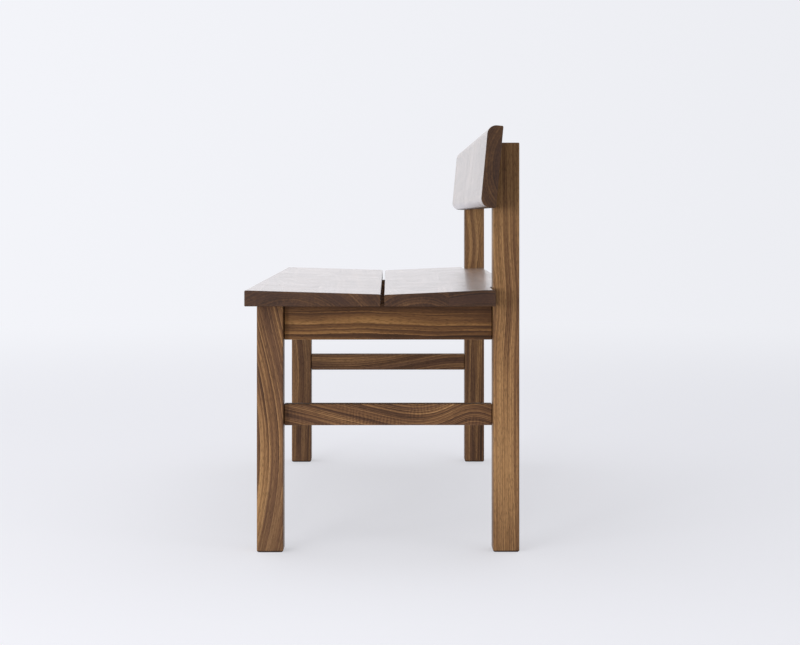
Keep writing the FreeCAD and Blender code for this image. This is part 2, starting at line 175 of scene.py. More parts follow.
class Graph:
    """Node tree of a material or of the world, built by short calls."""

    def __init__(self, owner: bpy.types.Material | bpy.types.World) -> None:
        """Start from an empty tree.

        Args:
            owner: The material or the world that it belongs to.
        """
        owner.use_nodes = True
        self.owner = owner
        self.tree = owner.node_tree
        self.tree.nodes.clear()

    def node(self, kind: str, inputs: Inputs = None, **settings: Any) -> bpy.types.Node:
        """Add a node.

        Args:
            kind: Blender's type of the node, without the ShaderNode at its start.
            inputs: Values or linked sockets for its inputs.
            settings: Its own settings, and the stops of its ramp.

        Returns:
            The node.
        """
        made = self.tree.nodes.new("ShaderNode" + kind)
        for place, (position, colour) in enumerate(settings.pop("stops", ())):
            elements = made.color_ramp.elements
            element = elements[place] if place < 2 else elements.new(1.0)
            element.position, element.color = position, (*colour, 1.0)
        for name, setting in settings.items():
            setattr(made, name, setting)
        for name, given in (inputs or {}).items():
            if isinstance(given, Socket):
                self.tree.links.new(given.output, made.inputs[name])
            else:
                made.inputs[name].default_value = given
        return made

    def value(self, kind: str, inputs: Inputs = None, output: int | str = 0, **settings: Any) -> Socket:
        """Add a node and return one of its outputs."""
        return Socket(self, self.node(kind, inputs, **settings).outputs[output])

    def finished(self, shader: Socket, kind: str) -> Any:
        """Owner of the tree, once the shader is linked to its output node."""
        self.node("Output" + kind, {0: shader})
        return self.owner

    def maths(self, operation: str, first: Number, second: Number = 0.0) -> Socket:
        """Math node on one or two numbers."""
        return self.value("Math", {0: first, 1: second}, operation=operation)

    def smooth(self, given: Number, low: float, high: float) -> Socket:
        """Soft step from 0 at the low value to 1 at the high one."""
        inputs = {"Value": given, "From Min": low, "From Max": high}
        return self.value("MapRange", inputs, interpolation_type="SMOOTHSTEP")

    def parts(self, vector: Socket) -> list[Socket]:
        """Three numbers of a vector."""
        return [Socket(self, output) for output in self.node("SeparateXYZ", {0: vector}).outputs]

    def noise(self, where: Any, size: float, detail: float, output: int = 0) -> Socket:
        """Add soft noise about 0.5.

        Args:
            where: A vector, or three numbers.
            size: Size of its lumps.
            detail: How many finer layers it has.
            output: 0 for a number, and 1 for a colour.

        Returns:
            The noise.
        """
        if not isinstance(where, Socket):
            where = self.value("CombineXYZ", dict(enumerate(where)))
        inputs = {"Vector": where, "Scale": 1 / size, "Detail": detail, "Roughness": NOISE_ROUGHNESS}
        return self.value("TexNoise", inputs, output)

    def mix(self, share: Number, first: Any, second: Any, blend: str = "MIX") -> Socket:
        """Mix two colours.

        Args:
            share: Share of the second.
            first: A socket or a triple.
            second: Another.
            blend: Blender's name of how they mix.

        Returns:
            The mixed colour.
        """
        first, second = (
            given if isinstance(given, Socket) else (*given, 1.0) for given in (first, second)
        )
        return self.value("Mix", {0: share, 6: first, 7: second}, 2, data_type="RGBA", blend_type=blend)

    def layered(self, share: Number, first: Socket, second: Socket) -> Socket:
        """Mix of two shaders."""
        return self.value("MixShader", {0: share, 1: first, 2: second})

    def scaled(self, colour: Triple, factor: Number) -> Socket:
        """Colour times a number."""
        return self.value("VectorMath", {0: colour, "Scale": factor}, operation="SCALE")

    def relief(self, height: Socket, strength: float, distance: float) -> Socket:
        """Normal of a surface with that height."""
        return self.value("Bump", {"Height": height, "Strength": strength, "Distance": distance})


def linear(*display: float) -> Triple:
    """Turn a display colour into a scene colour.

    A part c is c / 12.92 near black and ((c + 0.055) / 1.055) ** 2.4 above.

    Args:
        display: Red, green and blue from 0 to 255.

    Returns:
        Red, green and blue from 0 to 1.
    """
    shares = np.array(display) / 255
    bright = ((shares + 0.055) / 1.055) ** 2.4
    return tuple(float(part) for part in np.where(shares > 0.04045, bright, shares / 12.92))


@dataclass(frozen=True)
class Swell:
    """Bulge that pushes the growth rings sideways, as round a hidden knot, in millimetres."""

    place: float
    width: float
    height: float


@dataclass(frozen=True)
class Stave:
    """Where one stave lay in the log.

    The heart is a point on the log's middle line in the bench's frame, in metres, and the lean
    is how far the fibres stray from the stave's own axis, in degrees.
    """

    heart: Triple
    lean: Pair = (0.0, 0.0)


@dataclass(frozen=True)
class Timber:
    """How a piece was sawn: its fibres, its staves and the look of its figure.

    Rings and sway are in millimetres. A second stave starts at the joint, a depth in metres. The
    painted light drift is the change of tone for each metre along the fibres: painted light and shade
    along the piece. The tint multiplies the colour.
    Wood with a bare top has no oil where it lies against another piece above it.
    """

    grain: Grain
    stave: Stave
    second: Stave | None = None
    joint: float = 0.0
    rings: float = 4.0
    sway: float = 14.0
    swells: tuple[Swell, ...] = ()
    tone: float = 0.0
    contrast: float = 1.0
    purple: float = 0.35
    tint: Triple = WHITE
    painted_light_drift: float = 0.0
    curl: float = 0.0
    bare_top: bool = False
    polish: float = 0.0
    seed: float = 0.0


@dataclass(frozen=True)
class Shares:
    """How much each feature of the wood adds to one measure of its surface."""

    ring: float = 0.0
    early: float = 0.0
    late: float = 0.0
    lines: float = 0.0
    zones: float = 0.0
    fibre: float = 0.0
    pores: float = 0.0
    ends: float = 0.0
    rubbed_and_highlit: float = 0.0


@dataclass(frozen=True)
class OiledWalnut:
    """Walnut with an oil finish: solid growth rings, streaks, pores and darker end grain.

    The noises from fibre to wobble are each a size in millimetres, a detail, and how far the noise
    is drawn out along the fibres. Those from bands to shade follow the rings: how often they change
    in a ring, over how many millimetres along the fibres, and a detail. A pair is where a soft step
    starts and ends, apart from two: uneven is how fast and by how many rings the rings' widths
    stray, and late_strength is the late wood's least strength and what the ring's own number adds.
    The sheen's share is its least and what the tone and the clouds add.
    """

    stops: tuple[tuple[float, Triple], ...] = (
        (0.0, linear(44, 29, 20)),
        (0.3, linear(78, 53, 37)),
        (0.52, linear(110, 78, 52)),
        (0.74, linear(138, 102, 67)),
        (1.0, linear(168, 129, 87)),
    )
    purple: Triple = linear(88, 62, 50)
    pore: Triple = linear(40, 26, 17)
    # Lighter colour of eased edges: partly real wear and partly a painted highlight
    edge_wear_and_highlight: Triple = linear(138, 102, 67)
    end: Triple = (0.48, 0.45, 0.47)
    fibre: Triple = (0.8, 1.0, 40.0)
    zones: Triple = (40.0, 1.0, 4.0)
    mottle: Triple = (3.5, 2.0, 30.0)
    pores: Triple = (0.5, 0.0, 15.0)
    wear_and_highlight: Triple = (5.0, 2.0, 4.0)
    cloud: Triple = (80.0, 2.0, 1.0)
    jitter: Triple = (14.0, 1.0, 1.0)
    patch: Triple = (42.0, 1.0, 2.0)
    sway: Triple = (85.0, 1.5, 7.0)
    wobble: Triple = (9.0, 2.0, 9.0)
    wobble_amount: float = 1.6
    bands: Triple = (0.42, 420.0, 2.0)
    lines: Triple = (4.2, 150.0, 2.5)
    shade: Triple = (0.28, 500.0, 1.0)
    lines_breadth: float = 60.0
    shade_offset: float = 7.3
    sway_step: float = 31.0
    wobble_step: float = 17.0
    uneven: Pair = (0.31, 2.2)
    late_strength: Pair = (0.4, 0.9)
    late_rise: Pair = (0.3, 0.93)
    late_fall: Pair = (0.96, 1.0)
    early_rise: Pair = (0.0, 0.05)
    early_fall: Pair = (0.1, 0.3)
    curl_pitch: float = 1.15
    curl_jitter: float = 9.0
    curled: Pair = (0.45, 0.62)
    end_facing: Pair = (0.1, 0.5)
    shaded: Pair = (0.42, 0.68)
    pored: Pair = (0.6, 0.72)
    rubbed_and_highlit: Pair = (0.3, 0.75)
    in_figure: Shares = Shares(ring=0.25, early=0.2, late=-0.2, lines=0.6, zones=0.5)
    in_roughness: Shares = Shares(fibre=0.12, pores=0.14, ends=0.1, rubbed_and_highlit=-0.05)
    in_relief: Shares = Shares(late=-0.15, lines=0.35, fibre=0.25, pores=-0.9)
    end_calm: float = 0.35
    fibre_tone: float = 0.2
    mottle_tone: float = 0.55
    early_pores: float = 0.07
    pore_cover: float = 0.5
    edge_wear_and_highlight_cover: float = 0.1
    roughness: float = 0.42
    specular_level: float = 0.18
    polish_level: float = 0.1
    sheen: Triple = (0.99, 0.965, 0.98)
    sheen_share: Triple = (0.65, 0.06, 0.18)
    sheen_roughness: float = 0.235
    sheen_facing: Pair = (0.82, 0.97)
    top_facing: Pair = (0.8, 0.95)
    underside_facing: Pair = (-0.99, -0.85)
    relief_strength: float = 0.35
    relief_depth: float = 0.1 * MM
    # Painted shade at the feet: how dark it is, and the heights over which it fades out
    painted_foot_shade: float = 0.85
    painted_foot_shade_height: Pair = (1.2 * MM, 4.0 * MM)

    def material(self, name: str, timber: Timber) -> bpy.types.Material:
        """Make the material of one piece.

        Args:
            name: Name of the material.
            timber: How the piece was sawn.

        Returns:
            The material, worked out in object space so that every face shows the same log.
        """
        graph = Graph(bpy.data.materials.new(name))
        x, y, z = self._log_place(graph, timber)

        def grained(texture: Triple) -> Socket:
            """Noise drawn out along the fibres."""
            size, detail, stretch = texture
            return graph.noise((x, y, z / stretch), size, detail)

        rings = graph.maths("SQRT", x * x + y * y) / timber.rings
        pace, stray = self.uneven
        where = {"W": rings * pace + timber.seed, "Scale": 1.0, "Detail": 1.0}
        rings = rings + stray * (graph.value("TexNoise", where, noise_dimensions="1D") - 0.5)
        count = graph.maths("FLOOR", rings)
        phase = rings - count
        each = graph.value("TexWhiteNoise", {"W": count}, noise_dimensions="1D")

        def between(rise: Pair, fall: Pair) -> Socket:
            """Band of each ring that comes in over one soft step and goes over another."""
            return graph.smooth(phase, *rise) * (1 - graph.smooth(phase, *fall))

        def ringed(texture: Triple, offset: Number) -> Socket:
            """Noise that follows the rings."""
            often, length, detail = texture
            return graph.noise((rings * often, z / length, timber.seed + offset), 1.0, detail)

        least, added = self.late_strength
        late = between(self.late_rise, self.late_fall) * (least + added * each)
        early = between(self.early_rise, self.early_fall)
        bands, lines = ringed(self.bands, 0.0), ringed(self.lines, x / self.lines_breadth)
        shade = ringed(self.shade, self.shade_offset)
        fibre = grained(self.fibre)
        share = self.in_figure
        figure = (bands - 0.5) + share.ring * (each - 0.5) + share.lines * (lines - 0.5)
        figure = figure + share.early * early + share.late * late
        figure = figure + share.zones * (grained(self.zones) - 0.5)
        if timber.curl:
            wave = z * self.curl_pitch + self.curl_jitter * grained(self.jitter)
            patch = graph.smooth(grained(self.patch), *self.curled)
            figure = figure + timber.curl * graph.maths("SINE", wave) * patch
        normal = graph.value("NewGeometry", None, "Normal")
        turned = {0: normal, 1: tuple(timber.grain.axis)}
        facing = graph.value("VectorMath", turned, "Value", operation="DOT_PRODUCT")
        ends = graph.smooth(graph.maths("ABSOLUTE", facing), *self.end_facing)
        contrast = timber.contrast * (1 - self.end_calm * ends)
        # Painted light and shade: the tone drifts along the fibres where light falls unevenly along a piece
        tone = 0.5 + timber.tone + timber.painted_light_drift * MM * z + contrast * figure
        tone = tone + self.fibre_tone * (fibre - 0.5)
        tone = tone + self.mottle_tone * ends * (grained(self.mottle) - 0.5)
        colour = graph.value("ValToRGB", {0: tone}, stops=self.stops)
        if timber.tint != WHITE:
            colour = graph.mix(1.0, colour, timber.tint, "MULTIPLY")
        colour = graph.mix(timber.purple * graph.smooth(shade, *self.shaded), colour, self.purple)
        pores = graph.smooth(grained(self.pores) + self.early_pores * (1 - phase), *self.pored)
        colour = graph.mix(self.pore_cover * pores, colour, self.pore)
        colour = graph.mix(ends, colour, graph.mix(1.0, colour, self.end, "MULTIPLY"))
        # Painted shade: the lowest few millimetres of a piece darken towards the pore colour, standing for
        # the shade where the feet meet the floor
        height = graph.parts(graph.value("TexCoord", None, "Object"))[2]
        painted_foot_shade_mask = 1 - graph.smooth(height, *self.painted_foot_shade_height)
        colour = graph.mix(self.painted_foot_shade * painted_foot_shade_mask, colour, self.pore)
        # Eased edges turn lighter in noisy patches: partly real wear and partly a painted highlight
        arris = graph.value("Attribute", None, "Fac", attribute_name=ARRIS)
        rubbed_and_highlit = arris * graph.smooth(grained(self.wear_and_highlight), *self.rubbed_and_highlit)
        colour = graph.mix(self.edge_wear_and_highlight_cover * rubbed_and_highlit, colour, self.edge_wear_and_highlight)
        share = self.in_roughness
        roughness = self.roughness + share.pores * pores + share.ends * ends + share.rubbed_and_highlit * rubbed_and_highlit
        roughness = roughness + share.fibre * (fibre - 0.5)
        share = self.in_relief
        swelling = share.lines * lines + share.fibre * fibre + share.pores * pores + share.late * late
        inputs = {
            "Base Color": colour,
            "Roughness": roughness,
            "Normal": graph.relief(swelling, self.relief_strength, self.relief_depth),
            "Specular IOR Level": self.specular_level + self.polish_level * timber.polish,
        }
        shader = graph.value("BsdfPrincipled", inputs)
        if timber.bare_top:
            matt = graph.value("BsdfDiffuse", {"Color": colour, "Normal": inputs["Normal"]})
            top = graph.smooth(graph.parts(normal)[2], *self.top_facing)
            shader = graph.layered(top, shader, matt)
        if timber.polish:
            seen = graph.value("LayerWeight", {"Blend": 0.5}, "Facing")
            gloss = timber.polish * graph.smooth(graph.parts(normal)[2], *self.underside_facing)
            gloss = gloss * graph.smooth(seen, *self.sheen_facing)
            least, toned, clouded = self.sheen_share
            gloss = gloss * (least + toned * tone + clouded * grained(self.cloud))
            inputs = {"Color": (*self.sheen, 1.0), "Roughness": self.sheen_roughness}
            shader = graph.layered(gloss, shader, graph.value("BsdfAnisotropic", inputs))
        return graph.finished(shader, "Material")

    def _log_place(self, graph: Graph, timber: Timber) -> list[Socket]:
        """Work out the place in the log, in millimetres.

        The point is measured from the heart, pushed aside by each swell's bell curve
        h * exp(-((z - c) / w) ** 2), and swayed by two noises drawn out along the fibres.

        Args:
            graph: The nodes of the material.
            timber: How the piece was sawn.

        Returns:
            Two numbers across the log and one along it.
        """
        place = graph.value("TexCoord", None, "Object")

        def in_log(stave: Stave) -> Socket:
            """Measure the place from a stave's heart.

            Args:
                stave: The stave.

            Returns:
                Millimetres across the log and along its fibres.
            """
            turn = timber.grain.turn(stave.lean)
            inputs = {"Vector": place, "Location": stave.heart, "Rotation": turn, "Scale": (MM,) * 3}
            return graph.value("Mapping", inputs, vector_type="TEXTURE")

        local = in_log(timber.stave)
        if timber.second is not None:
            beyond = graph.maths("GREATER_THAN", graph.parts(place)[1], timber.joint)
            inputs = {0: beyond, 4: local, 5: in_log(timber.second)}
            local = graph.value("Mix", inputs, 1, data_type="VECTOR")
        x, y, z = graph.parts(local)
        for swell in timber.swells:
            bell = (z - swell.place) / swell.width
            y = y - swell.height * graph.maths("EXPONENT", 0.0 - bell * bell)
        moved = [x, y]
        for amount, (size, detail, stretch), offset in (
            (timber.sway, self.sway, self.sway_step * timber.seed),
            (self.wobble_amount, self.wobble, self.wobble_step * timber.seed),
        ):
            pushed = graph.parts(graph.noise((x, y, z / stretch + offset), size, detail, 1))
            moved = [start + amount * (part - 0.5) for start, part in zip(moved, pushed)]
        return [*moved, z]


@dataclass(frozen=True)
class ZincPlatedSteel:
    """Bright zinc plating with a cloudy, faintly warm sheen; noise sizes are in metres."""

    light: Triple = linear(206, 208, 206)
    dull: Triple = linear(164, 162, 150)
    cloud_size: float = 3.0 * MM
    scratch_size: float = 0.4 * MM
    scratch_depth: float = 0.05 * MM
    scratch_strength: float = 0.2
    dulled: Pair = (0.35, 0.7)
    roughness: float = 0.26
    cloud_roughness: float = 0.2

    def material(self, name: str) -> bpy.types.Material:
        """Make the material: noise clouds mix the two tones and vary the roughness.

        Args:
            name: Name of the material.

        Returns:
            The material.
        """
        graph = Graph(bpy.data.materials.new(name))
        place = graph.value("TexCoord", None, "Object")
        clouds = graph.noise(place, self.cloud_size, 3.0)
        scratches = graph.noise(place, self.scratch_size, 1.0)
        inputs = {
            "Base Color": graph.mix(graph.smooth(clouds, *self.dulled), self.light, self.dull),
            "Metallic": 1.0,
            "Roughness": self.roughness + self.cloud_roughness * clouds,
            "Normal": graph.relief(scratches, self.scratch_strength, self.scratch_depth),
        }
        return graph.finished(graph.value("BsdfPrincipled", inputs), "Material")


@dataclass(frozen=True)
class Outline:
    """Closed outline of a section, with what is needed to move it inwards.

    Each point has its outward direction. Beyond a corner's radius the outline keeps straight sides
    and square corners, so a point also has the extra slide towards the corner before it and the
    corner after it, each with the radius at which that slide starts.
    """

    points: Array
    outward: Array
    radii: Array
    slides: Array
    arris: Array

    @classmethod
    def rounded(cls, corners: Sequence[Triple], splits: Splits = None, steps: int = 7) -> Outline:
        """Outline through corners, anticlockwise.

        A point is centre + radius * direction + share * (end - start). On an arc the share is 0 and
        the direction turns evenly from one side's normal to the next one's.

        Args:
            corners: Two places and a radius for each corner, in metres.
            splits: For the side after a corner, further points at distances from that corner.
            steps: Steps of each arc.

        Returns:
            The outline.
        """
        places, radius = np.array(corners)[:, :2], np.array(corners)[:, 2]
        runs = np.roll(places, -1, 0) - places
        along = runs / np.linalg.norm(runs, axis=1)[:, None]
        normals = along[:, ::-1] * (1, -1)
        before = np.roll(normals, 1, 0)
        mitre = (before + normals) / (1 + (before * normals).sum(1))[:, None]
        centres = places - radius[:, None] * mitre
        bands = []
        for index, normal in enumerate(normals):
            following = (index + 1) % len(normals)
            (a, b), (c, d) = before[index], normal
            sweep = math.atan2(a * d - b * c, a * c + b * d)
            angles = math.atan2(b, a) + sweep * np.linspace(0, 1, steps + 1)
            arc = np.stack([np.cos(angles), np.sin(angles)], -1)
            start, end = (centres[turn] + radius[turn] * normal for turn in (index, following))
            length = float((end - start) @ along[index])
            offset = float((start - places[index]) @ along[index])
            wanted = [border for border in BORDERS if border < length / 2]
            wanted += [length - border for border in reversed(wanted)]
            wanted += [split - offset for split in (splits or {}).get(index, ())]
            side = np.unique(np.round(wanted, DECIMALS)) / length
            share = np.concatenate([np.zeros(len(arc)), side])[:, None]
            outward = np.concatenate([arc, np.repeat(normal[None], len(side), 0)])
            points = centres[index] + radius[index] * outward + share * (end - start)
            radii = np.repeat([[radius[index], radius[following]]], len(share), 0)
            back, fore = (1 - share) * (mitre[index] - outward), share * (mitre[following] - outward)
            fade = 1 - np.minimum(share, 1 - share)[:, 0] * length / BORDERS[-1]
            bands.append((points, outward, radii, np.stack([back, fore], 1), np.clip(fade, 0, 1)))
        return cls(*(np.concatenate(parts) for parts in zip(*bands)))

    @classmethod
    def rectangle(cls, first: Pair, second: Pair, radius: float, splits: Splits = None) -> Outline:
        """Rectangle between two places on each axis, with its corners rounded."""
        (a, b), (c, d) = first, second
        return cls.rounded([(*corner, radius) for corner in ((a, c), (b, c), (b, d), (a, d))], splits)

    def moved_in(self, inset: Array, keep_round: bool) -> Array:
        """Move the outline inwards, to point - inset * outward - slides past the radii.

        Args:
            inset: Inset of each ring.
            keep_round: Whether corners keep their radius, so that they slide from the start.

        Returns:
            Points of one ring for each inset.
        """
        depth = inset[:, None]
        rings = self.points - depth[..., None] * self.outward
        for index in (0, 1):
            beyond = np.maximum(depth - (0 if keep_round else self.radii[:, index]), 0)
            rings = rings - beyond[..., None] * self.slides[:, index]
        return rings


@dataclass(frozen=True)
class Ease:
    """How an end of a sweep is eased: rings from the full section to the end face.

    Each ring has its distance from the end, its inset and the angle of its normal towards the
    end. A round end has inset r * (1 - cos t) and distance r * (1 - sin t).
    """

    distance: Array
    inset: Array
    tilt: Array
    keep_round: bool = False

    @classmethod
    def round(cls, radius: float, steps: int = 6) -> Ease:
        """End rounded over by a quarter circle."""
        tilt = np.linspace(0, math.pi / 2, steps + 1)
        return cls(radius * (1 - np.sin(tilt)), radius * (1 - np.cos(tilt)), tilt)

    @classmethod
    def chamfer(cls, size: float, soft: float, steps: int = 3) -> Ease:
        """Chamfer an end at 45 degrees, both its edges arcs of radius soft / tan(22.5 degrees).

        Args:
            size: Size of the chamfer.
            soft: How far the arcs reach past it.
            steps: Steps of each arc.

        Returns:
            The rings of the end.
        """
        radius = soft / math.tan(math.pi / 8)
        first = np.linspace(0, math.pi / 4, steps + 1)
        second = first + math.pi / 4
        reach = size + soft
        distance = [reach - radius * np.sin(first), radius * (1 - np.sin(second))]
        inset = [radius * (1 - np.cos(first)), reach - radius * np.cos(second)]
        return cls(*map(np.concatenate, (distance, inset, [first, second])), True)

    @classmethod
    def shoulder(cls, radius: float, slot: float, depth: float) -> Ease:
        """Round an end over and cut it back to a core, so that a dark line shows at the joint.

        Args:
            radius: Radius of the round.
            slot: Width of the line.
            depth: How far the core lies in.

        Returns:
            The rings of the end.
        """
        curve = cls.round(radius)
        distance = np.concatenate([curve.distance + slot, [slot, 0.0]])
        inset = np.concatenate([curve.inset, [depth, depth]])
        return cls(distance, inset, np.concatenate([curve.tilt, [math.pi / 2, 0.0]]))


SQUARE_END = Ease(np.zeros(1), np.zeros(1), np.zeros(1))


class Skin:
    """Patches of surface gathered into one closed mesh with its own normals."""

    def __init__(self) -> None:
        """Start with nothing."""
        self.points: list[Array] = []
        self.normals: list[Array] = []
        self.arrises: list[Array] = []
        self.quads: list[Array] = []
        self.plates: list[Array] = []
        self.count = 0

    def _add(self, points: Array, normals: Array, arris: Array) -> int:
        """Add points.

        Args:
            points: The points.
            normals: Their outward directions, of any length.
            arris: Their arris weights.

        Returns:
            Index of the first one.
        """
        first = self.count
        self.points.append(points.reshape(-1, 3))
        lengths = np.linalg.norm(normals, axis=-1, keepdims=True)
        self.normals.append((normals / lengths).reshape(-1, 3))
        self.arrises.append(arris.reshape(-1))
        self.count += arris.size
        return first

    def patch(
        self, points: Array, normals: Array, arris: Array | None = None, keep: Array | None = None
    ) -> None:
        """Add a grid.

        Args:
            points: Its points, in rows and columns.
            normals: Their outward directions.
            arris: Their arris weights, or none.
            keep: Mask of the cells to keep, or all.
        """
        rows, columns = points.shape[:2]
        first = self._add(points, normals, np.zeros((rows, columns)) if arris is None else arris)
        index = first + np.arange(rows * columns).reshape(rows, columns)
        cells = np.stack([index[:-1, :-1], index[:-1, 1:], index[1:, 1:], index[1:, :-1]], -1)
        self.quads.append(cells.reshape(-1, 4) if keep is None else cells[keep])

    def plate(self, points: Array, normal: Array) -> None:
        """Add one flat face round the points in order."""
        first = self._add(points, np.repeat(normal[None], len(points), 0), np.zeros(len(points)))
        self.plates.append(first + np.arange(len(points)))

    def mesh(self, name: str, mirror: Triple = (1.0, 1.0, 1.0)) -> bpy.types.Mesh:
        """Make the mesh: points that coincide are one, and every face looks outwards.

        A cell is turned over where the cross product of its diagonals points against its normals,
        and a cell with two corners in one place becomes a triangle.

        Args:
            name: Name of the mesh.
            mirror: Factors on the three axes.

        Returns:
            The mesh.
        """
        points = np.concatenate(self.points) * mirror
        normals = np.concatenate(self.normals) * mirror
        keys = np.round(points / WELD).astype(np.int64)
        _, chosen, merged = np.unique(keys, axis=0, return_index=True, return_inverse=True)
        merged = merged.reshape(-1)
        arris = np.zeros(len(chosen))
        np.maximum.at(arris, merged, np.concatenate(self.arrises))
        faces: list[list[int]] = []
        loops: list[Array] = []

        def collect(cells: Array) -> None:
            """Add faces that have as many corners as each other."""
            faces.extend(merged[cells].tolist())
            loops.append(normals[cells].reshape(-1, 3))

        for quads in self.quads:
            corner = points[quads]
            across = np.cross(corner[:, 2] - corner[:, 0], corner[:, 3] - corner[:, 1])
            wrong = (across * normals[quads].sum(1)).sum(1) < 0
            quads = np.where(wrong[:, None], quads[:, ::-1], quads)
            same = merged[quads] == merged[np.roll(quads, -1, 1)]
            collect(quads[same.sum(1) == 0])
            for column in range(4):
                collect(np.delete(quads[(same.sum(1) == 1) & same[:, column]], column, 1))
        for plate in self.plates:
            plate = plate[merged[plate] != merged[np.roll(plate, 1)]]
            corner = points[plate]
            area = np.cross(corner, np.roll(corner, -1, 0)).sum(0)
            collect((plate[::-1] if area @ normals[plate[0]] < 0 else plate)[None])
        mesh = bpy.data.meshes.new(name)
        mesh.from_pydata(points[chosen].tolist(), [], faces)
        mesh.polygons.foreach_set("use_smooth", np.ones(len(faces), bool))
        mesh.attributes.new(ARRIS, "FLOAT", "POINT").data.foreach_set("value", arris.astype(np.float32))
        mesh.normals_split_custom_set(np.concatenate(loops).tolist())
        return mesh


@dataclass(frozen=True)
class Pocket:
    """Box between two corners, open on one side of an axis."""

    low: Array
    high: Array
    axis: int
    side: int

    def onto(self, skin: Skin) -> None:
        """Add five walls, which look into the box.

        Args:
            skin: The skin that gets them.
        """
        corners = np.array([self.low, self.high])
        for grain in Grain:
            first, second = grain.across
            for side in (-1, 1):
                if (grain.value, side) == (self.axis, self.side):
                    continue
                points = np.repeat(corners[(side + 1) // 2][None], 4, 0)
                points[:, first] = corners[[0, 1, 1, 0], first]
                points[:, second] = corners[[0, 0, 1, 1], second]
                skin.plate(points, -side * grain.axis)


@dataclass(frozen=True)
class Bore:
    """Blind round hole in a face that looks back, in a square of that face between two corners."""

    low: Array
    high: Array
    radius: float
    depth: float
    steps: int = 32

    def onto(self, skin: Skin) -> None:
        """Add the wall, the bottom, and the square in four plates round centre + r * (cos t, sin t).

        Args:
            skin: The skin that gets them.
        """
        back = Grain.DEPTH.axis
        out = Grain.DEPTH.circle(self.steps, math.pi / 4)
        centre, half = (self.low + self.high) / 2, (self.high - self.low)[0] / 2
        ring = centre + self.radius * out
        corners = centre + half * np.array([[1, 0, 1], [-1, 0, 1], [-1, 0, -1], [1, 0, -1]])
        quarter = self.steps // 4
        for index in range(4):
            arc = ring[index * quarter : (index + 1) * quarter + 1]
            skin.plate(np.concatenate([corners[[(index + 1) % 4, index]], arc]), back)
        wall = np.stack([ring, ring - self.depth * back])
        skin.patch(wall, np.stack([-out, -out]))
        skin.plate(wall[1, :-1], back)


def closed(values: Array) -> Array:
    """Values round an outline with the first repeated at the end."""
    return np.concatenate([values, values[:1]])


@dataclass(frozen=True)
class Sweep:
    """Outline carried along an axis between two places, eased at both ends.

    A ring lies at place = end + distance, or end - distance at the high end, moved in by the
    ring's inset. Its normals are outward * cos t + axis * sin t, t being the ring's tilt. Further
    rings lie at the hollows' ends, and a bend moves all points and turns their normals.
    """

    outline: Outline
    grain: Grain
    low: float
    high: float
    low_ease: Ease = SQUARE_END
    high_ease: Ease = SQUARE_END
    hollows: Sequence[Pocket | Bore] = ()
    bend: Callable[[Array, Array], tuple[Array, Array]] | None = None

    def _rings(self, places: Array, inset: Array, tilt: Array, keep_round: bool) -> tuple[Array, Array]:
        """Lay rings square to the axis, each closed by its first point.

        Args:
            places: Place of each ring on the axis.
            inset: How far each is moved in.
            tilt: Angle of each one's normals along the axis.
            keep_round: Whether corners keep their radius.

        Returns:
            Points and normals.
        """
        flat = self.outline.moved_in(inset, keep_round)
        flat = np.concatenate([flat, flat[:, :1]], 1)
        outward = closed(self.outline.outward)
        lift = np.ones(len(outward))
        if keep_round:
            lift = 1 + (outward * closed(self.outline.slides).sum(1)).sum(1)
        points = np.zeros((*flat.shape[:2], 3))
        normals = np.zeros_like(points)
        points[..., self.grain.value] = places[:, None]
        normals[..., self.grain.value] = np.sin(tilt)[:, None] * lift
        points[..., self.grain.across] = flat
        normals[..., self.grain.across] = np.cos(tilt)[:, None, None] * outward
        return (points, normals) if self.bend is None else self.bend(points, normals)

    def _end(self, ease: Ease, end: float, sign: int, capped: bool) -> tuple[Array, ...]:
        """Rings of one end, from the end face inwards.

        Args:
            ease: How the end is eased.
            end: Place of the end face.
            sign: 1 where the body lies above the end face, and -1 where below.
            capped: Whether the end face has rings too, over which the arris fades.

        Returns:
            Points, normals and arris weights of the rings.
        """
        eased = bool(ease.tilt.max() > 0)
        spare = np.array(BORDERS[::-1] if eased else ())
        rim = np.array((0.0, *BORDERS) if capped else ())
        distance = np.concatenate([spare + ease.distance.max(), ease.distance, 0 * rim])
        inset = np.concatenate([0 * spare, ease.inset, ease.inset[-1] + rim])
        tilt = np.concatenate([0 * spare, ease.tilt, 0 * rim + math.pi / 2])
        fade = eased * (1 - np.concatenate([spare, 0 * ease.tilt, rim]) / BORDERS[-1])
        on_side = np.arange(len(fade)) < len(fade) - len(rim)
        points, normals = self._rings(end + sign * distance, inset, -sign * tilt, ease.keep_round)
        arris = np.maximum(fade[:, None], on_side[:, None] * closed(self.outline.arris))
        return points[::-1], normals[::-1], arris[::-1]

    def onto(self, skin: Skin, caps: tuple[bool, bool] = (True, True)) -> Skin:
        """Add the swept side, its caps and its hollows.

        Args:
            skin: The skin that gets them.
            caps: Whether the low and the high end are closed.

        Returns:
            The same skin.
        """
        low = self._end(self.low_ease, self.low, 1, caps[0])
        high = (part[::-1] for part in self._end(self.high_ease, self.high, -1, caps[1]))
        corners = np.array([(hollow.low, hollow.high) for hollow in self.hollows]).reshape(-1, 3)
        places = np.sort(corners[:, self.grain.value])
        middle = self._rings(places, 0 * places, 0 * places, False)
        weights = np.repeat(closed(self.outline.arris)[None], len(places), 0)
        bands = zip(low, (*middle, weights), high)
        points, normals, arris = (np.concatenate(parts) for parts in bands)
        middles = (points[:-1, :-1] + points[1:, 1:] + points[:-1, 1:] + points[1:, :-1]) / 4
        keep = np.ones(middles.shape[:2], bool)
        for hollow in self.hollows:
            above, below = middles > hollow.low - MOUTH_MARGIN, middles < hollow.high + MOUTH_MARGIN
            keep &= ~(above & below).all(-1)
            hollow.onto(skin)
        skin.patch(points, normals, arris, keep)
        for ring, sign, capped in zip((points[0], points[-1]), (-1, 1), caps):
            if capped:
                skin.plate(ring[:-1], sign * self.grain.axis)
        return skin


def spans(node: str) -> list[Pair]:
    """Low and high place of a CAD node on each axis."""
    return list(zip(*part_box(node)))


